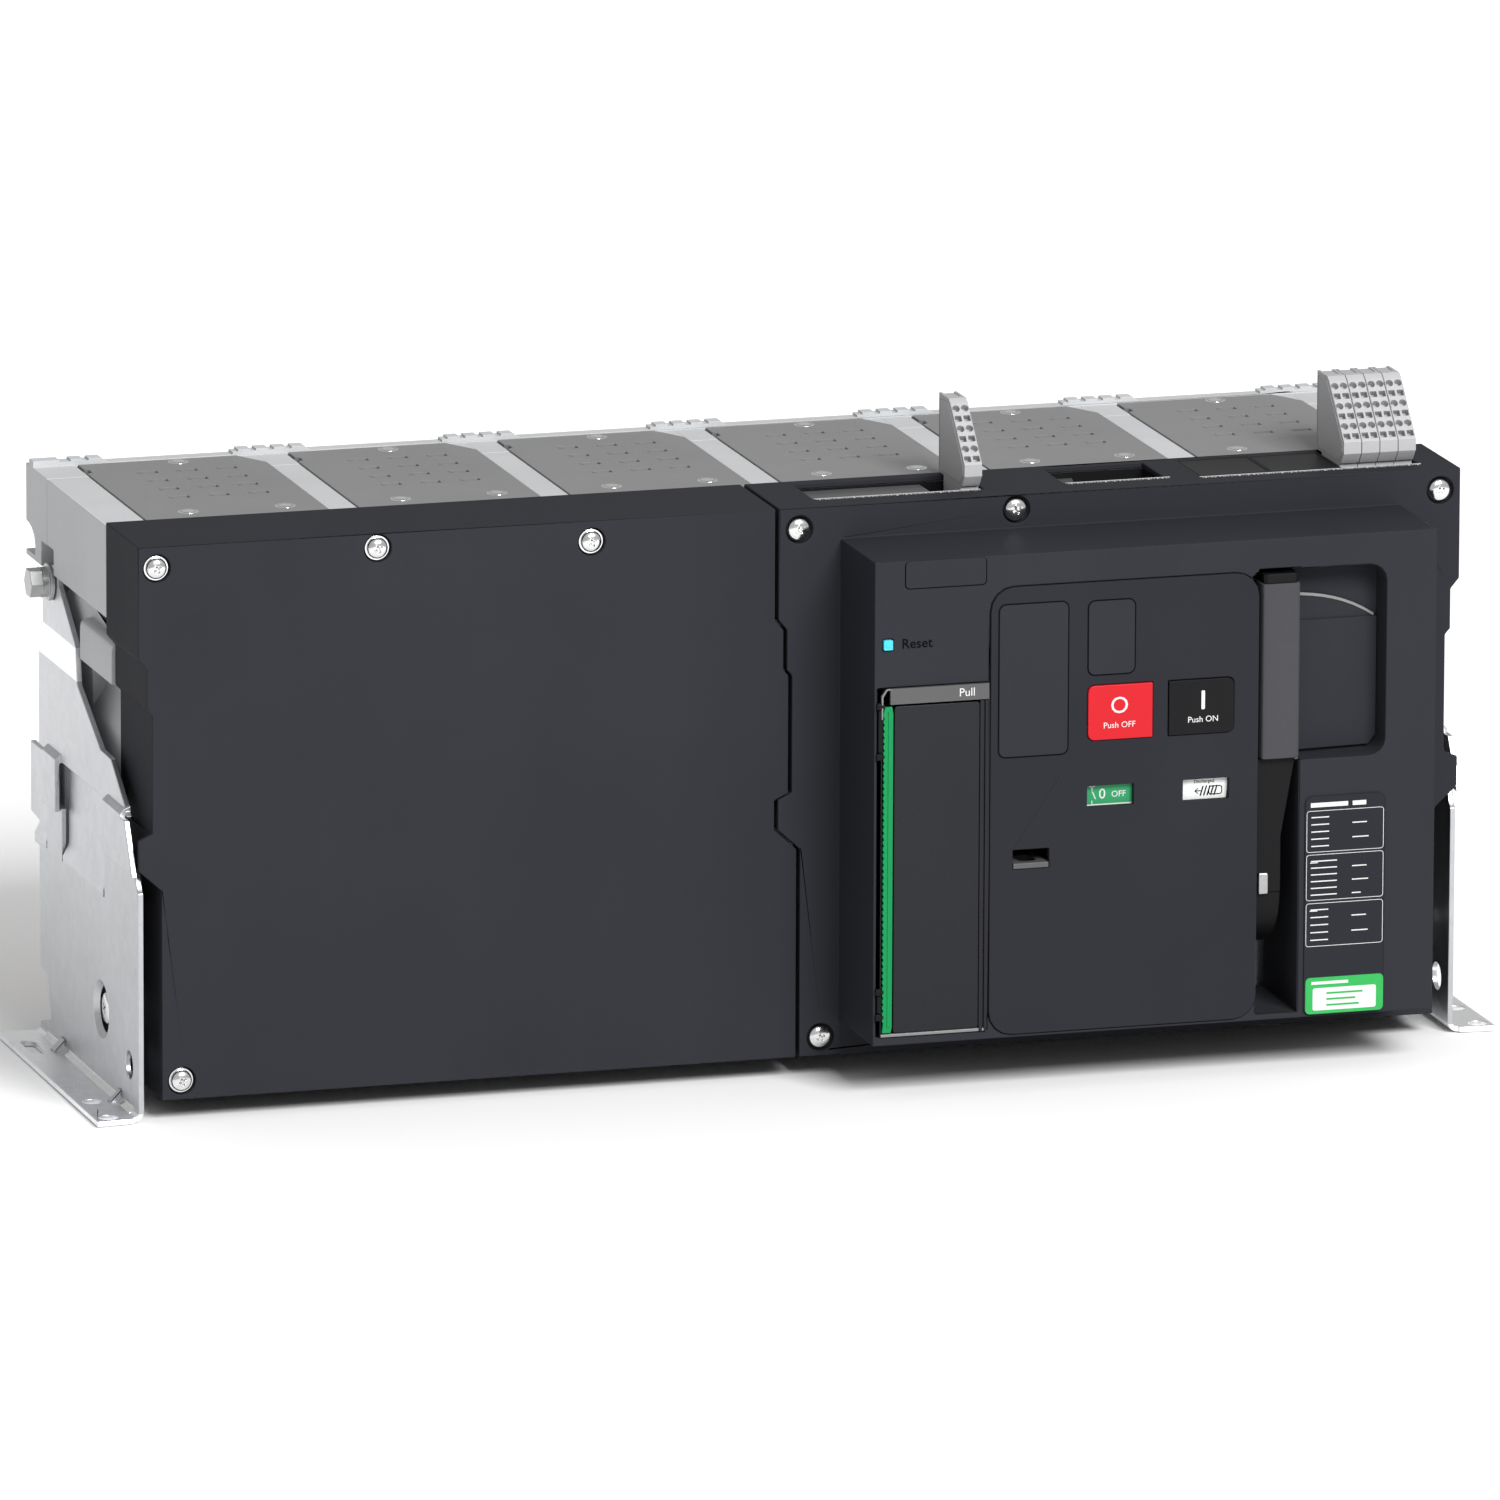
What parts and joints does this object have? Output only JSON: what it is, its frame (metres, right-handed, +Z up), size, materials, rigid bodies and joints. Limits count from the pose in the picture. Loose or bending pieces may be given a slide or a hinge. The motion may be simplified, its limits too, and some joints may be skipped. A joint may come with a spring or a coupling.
{
  "type": "air circuit breaker",
  "caption": "Fixed low-voltage air circuit breaker: wide dark covers over a light case, operating face with buttons and charging handle, arc chutes on top, folded steel feet.",
  "frame": {"origin": "middle of the whole breaker in plan, on the plane of the feet's undersides", "axes": "+X to the right along the width seen from the front, -Y towards the operator in front, +Z up"},
  "size_m": [0.767, 0.2969, 0.35],
  "materials": {
    "cover_grey": "fine moulded texture, satin",
    "panel_grey": "fine moulded texture, satin",
    "case_grey": "moulded thermoset, satin",
    "chute_grey": "satin",
    "zinc": "zinc plated sheet, satin",
    "steel": "zinc plated",
    "copper": "silver-plated copper bar, dull",
    "grip_grey": "textured grip",
    "black": "satin",
    "red": "satin",
    "green": "satin",
    "cyan": "satin",
    "white": "satin",
    "window": "clear smoked plastic",
    "terminal_grey": "moulded, satin"
  },
  "bodies": {
    "body": {"front_cover_left": "cover_grey", "front_cover_right": "cover_grey", "control_panel": "panel_grey", "control_unit": "black", "rating_plate": "black", "front_case": "case_grey", "case_nose": "case_grey", "rear_case": "case_grey", "side_plate_left": "zinc", "side_plate_right": "zinc", "mounting_bracket_left": "zinc", "mounting_bracket_right": "zinc", "side_bolt_left": "steel", "side_bolt_right": "steel", "mechanism_frame": "zinc", "closing_spring": "steel", "cover_screw_1": "steel", "cover_screw_2": "steel", "cover_screw_3": "steel", "cover_screw_4": "steel", "cover_screw_5": "steel", "cover_screw_6": "steel", "cover_screw_7": "steel", "cover_screw_8": "steel", "terminal_block_1": "terminal_grey", "terminal_block_2": "terminal_grey", "terminal_block_3": "terminal_grey", "terminal_block_4": "terminal_grey", "terminal_block_5": "terminal_grey", "arc_chute_1": "chute_grey", "arc_chute_2": "chute_grey", "arc_chute_3": "chute_grey", "arc_chute_4": "chute_grey", "arc_chute_5": "chute_grey", "arc_chute_6": "chute_grey", "upper_terminal_1": "copper", "lower_terminal_1": "copper", "upper_terminal_2": "copper", "lower_terminal_2": "copper", "upper_terminal_3": "copper", "lower_terminal_3": "copper"},
    "charging_handle": {"charging_handle": "black", "handle_grip": "grip_grey"},
    "charging_shaft": {"charging_shaft": "steel", "ratchet_wheel": "steel"},
    "pole_shaft": {"pole_shaft": "steel"},
    "moving_contacts": {"moving_contact_1": "copper", "moving_contact_2": "copper", "moving_contact_3": "copper", "moving_contact_4": "copper", "moving_contact_5": "copper", "moving_contact_6": "copper"},
    "contact_indicator": {"contact_indicator": "green"},
    "charge_indicator": {"charge_indicator": "white"},
    "on_button": {"on_button": "black"},
    "off_button": {"off_button": "red"},
    "reset_button": {"reset_button": "cyan"},
    "window_door": {"window_door": "window"},
    "padlock_tab": {"padlock_tab": "steel"}
  },
  "joints": [
    {"name": "handle_swing", "type": "hinge", "parent": "body", "child": "charging_handle", "pos_m": [0.2435, -0.109, 0.098], "axis": [1, 0, 0], "range_deg": [0, 75], "stiffness_Nm_per_rad": 0.8},
    {"name": "charging_shaft_turn", "type": "hinge", "parent": "body", "child": "charging_shaft", "pos_m": [0.177, -0.109, 0.098], "axis": [1, 0, 0], "range_deg": [0, 180]},
    {"name": "contacts_swing", "type": "hinge", "parent": "body", "child": "moving_contacts", "pos_m": [0, 0.047, 0.088], "axis": [-1, 0, 0], "range_deg": [0, 10.5], "stiffness_Nm_per_rad": 40},
    {"name": "pole_shaft_turn", "type": "hinge", "parent": "body", "child": "pole_shaft", "pos_m": [0, -0.04, 0.122], "axis": [-1, 0, 0], "range_deg": [0, 50]},
    {"name": "contact_indicator_slide", "type": "slide", "parent": "body", "child": "contact_indicator", "axis": [0, 0, 1], "range_m": [0, 0.0125]},
    {"name": "charge_indicator_slide", "type": "slide", "parent": "body", "child": "charge_indicator", "axis": [0, 0, 1], "range_m": [0, 0.0125]},
    {"name": "on_button_press", "type": "slide", "parent": "body", "child": "on_button", "axis": [0, 1, 0], "range_m": [0, 0.004], "stiffness_N_per_m": 800},
    {"name": "off_button_press", "type": "slide", "parent": "body", "child": "off_button", "axis": [0, 1, 0], "range_m": [0, 0.004], "stiffness_N_per_m": 800},
    {"name": "reset_button_press", "type": "slide", "parent": "body", "child": "reset_button", "axis": [0, 1, 0], "range_m": [0, 0.003], "stiffness_N_per_m": 500},
    {"name": "window_door_swing", "type": "hinge", "parent": "body", "child": "window_door", "pos_m": [0.0208, -0.1472, 0.128], "axis": [0, 0, -1], "range_deg": [0, 110]},
    {"name": "padlock_tab_pull", "type": "slide", "parent": "body", "child": "padlock_tab", "axis": [0, -1, 0], "range_m": [0, 0.012]}
  ],
  "couplings": [
    {"joint": "pole_shaft_turn", "follows": "contacts_swing", "ratio": 4.7619},
    {"joint": "contact_indicator_slide", "follows": "contacts_swing", "m_per_rad": 0.0682},
    {"joint": "charge_indicator_slide", "follows": "charging_shaft_turn", "m_per_rad": 0.003978}
  ]
}
